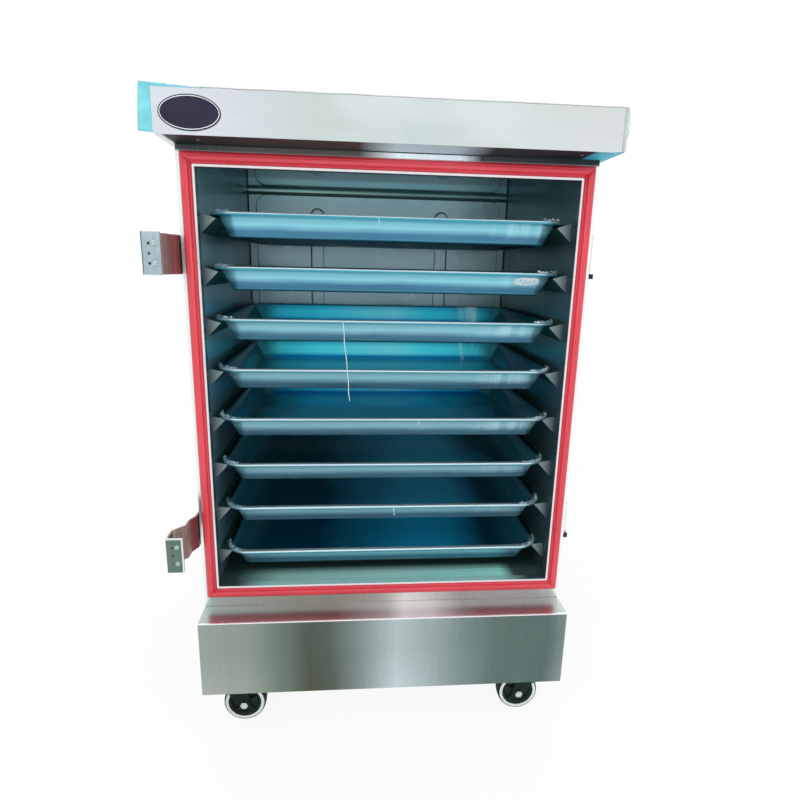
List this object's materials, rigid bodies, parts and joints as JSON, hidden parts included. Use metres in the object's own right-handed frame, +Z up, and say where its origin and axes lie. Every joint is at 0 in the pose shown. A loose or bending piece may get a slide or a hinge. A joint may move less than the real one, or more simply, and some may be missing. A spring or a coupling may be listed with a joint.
{
  "type": "commercial rice steamer",
  "caption": "Mobile electric rice steamer: insulated steel cabinet with removable trays on side rails, overhanging canopy, red door seal, hinge arms and a castered plinth.",
  "frame": {"origin": "on the floor under the middle of the cabinet body, on its left-right middle plane", "axes": "+X to the right seen from the front, +Y from the front to the back, +Z up"},
  "size_m": [0.704, 0.6815, 1.102],
  "materials": {
    "cabinet_steel": "fine brushed stainless",
    "canopy_steel": "pale brushed stainless under clear film",
    "liner_steel": "smooth stainless, cool tint",
    "tray_steel": "satin stainless",
    "trim_steel": "bright polished edge",
    "seal_rubber": "red silicone rubber",
    "hinge_steel": "satin stainless",
    "fastener_steel": "bright stainless",
    "badge_face": "dark gloss, bare",
    "insulation_wool": "mineral wool",
    "heater_steel": "oxidised sheath",
    "brass_fitting": "plain brass",
    "lever_paint": "red dipped lever",
    "gland_plastic": "black nylon",
    "caster_zinc": "bright zinc",
    "wheel_plastic": "dark grey core",
    "wheel_rubber": "light grey rubber"
  },
  "bodies": {
    "cabinet": {"base_front_panel": "cabinet_steel", "base_side_panels": "cabinet_steel", "base_rear_panel": "cabinet_steel", "base_floor_pan": "cabinet_steel", "side_panel_left": "cabinet_steel", "side_panel_right": "cabinet_steel", "rear_panel": "cabinet_steel", "front_frame": "cabinet_steel", "opening_trim": "trim_steel", "door_seal": "seal_rubber", "canopy_shell": "canopy_steel", "canopy_underside": "canopy_steel", "badge_plate": "badge_face", "liner_left": "liner_steel", "liner_right": "liner_steel", "liner_back": "liner_steel", "liner_ceiling": "liner_steel", "liner_floor": "liner_steel", "steam_plate": "liner_steel", "back_duct": "liner_steel", "steam_columns": "liner_steel", "insulation": "insulation_wool", "tray_rails": "liner_steel", "water_tank": "liner_steel", "heating_elements": "heater_steel", "feed_box": "liner_steel", "drain_valve": "brass_fitting", "cable_gland": "gland_plastic", "steam_vent": "cabinet_steel", "hinge_brackets": "hinge_steel", "hinge_pins": "fastener_steel", "latch_keepers": "hinge_steel", "caster_plates": "caster_zinc", "rear_caster_forks": "caster_zinc", "rear_axles": "fastener_steel"},
    "upper_hinge_arm": {"hinge_arm_upper": "hinge_steel", "hinge_bolts_upper": "fastener_steel"},
    "lower_hinge_arm": {"hinge_arm_lower": "hinge_steel", "hinge_bolts_lower": "fastener_steel"},
    "tray_1": {"tray_1": "tray_steel"},
    "tray_2": {"tray_2": "tray_steel"},
    "tray_3": {"tray_3": "tray_steel"},
    "tray_4": {"tray_4": "tray_steel"},
    "tray_5": {"tray_5": "tray_steel"},
    "tray_6": {"tray_6": "tray_steel"},
    "tray_7": {"tray_7": "tray_steel"},
    "tray_8": {"tray_8": "tray_steel"},
    "front_caster_left": {"caster_fork_left": "caster_zinc", "front_axle_left": "fastener_steel"},
    "front_wheel_left": {"wheel_hub_front_left": "wheel_plastic", "tyre_front_left": "wheel_rubber"},
    "rear_wheel_left": {"wheel_hub_rear_left": "wheel_plastic", "tyre_rear_left": "wheel_rubber"},
    "front_caster_right": {"caster_fork_right": "caster_zinc", "front_axle_right": "fastener_steel"},
    "front_wheel_right": {"wheel_hub_front_right": "wheel_plastic", "tyre_front_right": "wheel_rubber"},
    "rear_wheel_right": {"wheel_hub_rear_right": "wheel_plastic", "tyre_rear_right": "wheel_rubber"},
    "drain_lever": {"drain_lever": "lever_paint"}
  },
  "joints": [
    {"name": "upper_hinge_arm_swing", "type": "hinge", "parent": "cabinet", "child": "upper_hinge_arm", "pos_m": [-0.3385, -0.225, 0.877], "axis": [0, 0, -1], "range_deg": [0, 100]},
    {"name": "lower_hinge_arm_swing", "type": "hinge", "parent": "cabinet", "child": "lower_hinge_arm", "pos_m": [-0.3385, -0.225, 0.403], "axis": [0, 0, -1], "range_deg": [0, 100]},
    {"name": "tray_1_slide", "type": "slide", "parent": "cabinet", "child": "tray_1", "axis": [0, -1, 0], "range_m": [-0.004, 0.35]},
    {"name": "tray_2_slide", "type": "slide", "parent": "cabinet", "child": "tray_2", "axis": [0, -1, 0], "range_m": [-0.004, 0.35]},
    {"name": "tray_3_slide", "type": "slide", "parent": "cabinet", "child": "tray_3", "axis": [0, -1, 0], "range_m": [-0.004, 0.35]},
    {"name": "tray_4_slide", "type": "slide", "parent": "cabinet", "child": "tray_4", "axis": [0, -1, 0], "range_m": [-0.004, 0.35]},
    {"name": "tray_5_slide", "type": "slide", "parent": "cabinet", "child": "tray_5", "axis": [0, -1, 0], "range_m": [-0.012, 0.342]},
    {"name": "tray_6_slide", "type": "slide", "parent": "cabinet", "child": "tray_6", "axis": [0, -1, 0], "range_m": [-0.007, 0.347]},
    {"name": "tray_7_slide", "type": "slide", "parent": "cabinet", "child": "tray_7", "axis": [0, -1, 0], "range_m": [0, 0.354]},
    {"name": "tray_8_slide", "type": "slide", "parent": "cabinet", "child": "tray_8", "axis": [0, -1, 0], "range_m": [-0.004, 0.35]},
    {"name": "front_caster_left_swivel", "type": "hinge", "parent": "cabinet", "child": "front_caster_left", "pos_m": [-0.2913, -0.252, 0.095], "axis": [0, 0, 1], "continuous": true},
    {"name": "front_wheel_left_spin", "type": "hinge", "parent": "front_caster_left", "child": "front_wheel_left", "pos_m": [-0.2693, -0.252, 0.04], "axis": [0, 1, 0], "continuous": true},
    {"name": "rear_wheel_left_spin", "type": "hinge", "parent": "cabinet", "child": "rear_wheel_left", "pos_m": [-0.2913, 0.199, 0.04], "axis": [1, 0, 0], "continuous": true},
    {"name": "front_caster_right_swivel", "type": "hinge", "parent": "cabinet", "child": "front_caster_right", "pos_m": [0.2913, -0.252, 0.095], "axis": [0, 0, 1], "continuous": true},
    {"name": "front_wheel_right_spin", "type": "hinge", "parent": "front_caster_right", "child": "front_wheel_right", "pos_m": [0.2693, -0.252, 0.04], "axis": [0, 1, 0], "continuous": true},
    {"name": "rear_wheel_right_spin", "type": "hinge", "parent": "cabinet", "child": "rear_wheel_right", "pos_m": [0.2913, 0.199, 0.04], "axis": [1, 0, 0], "continuous": true},
    {"name": "drain_lever_turn", "type": "hinge", "parent": "cabinet", "child": "drain_lever", "pos_m": [-0.18, 0.2875, 0.2], "axis": [0, 0, 1], "range_deg": [0, 90]}
  ]
}
